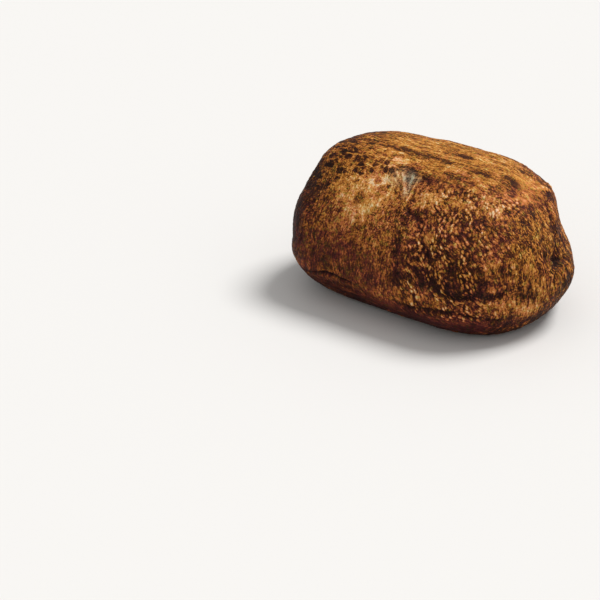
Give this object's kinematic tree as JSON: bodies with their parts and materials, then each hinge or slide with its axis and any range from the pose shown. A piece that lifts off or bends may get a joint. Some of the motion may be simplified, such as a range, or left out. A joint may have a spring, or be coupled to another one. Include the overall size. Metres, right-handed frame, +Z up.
{
  "type": "turkey breast",
  "caption": "Whole boneless roast turkey breast: a loaf-shaped piece of browned meat with a net-marked skin, tied ends and a flat underside that it rests on.",
  "frame": {"origin": "on the surface the breast rests on, under the middle of its length and width", "axes": "+X along the breast towards its right end, -Y towards its show side, +Z up"},
  "size_m": [0.25, 0.165, 0.127],
  "materials": {
    "browned_skin": "satin"
  },
  "bodies": {
    "root": {"turkey_breast": "browned_skin"}
  },
  "joints": []
}
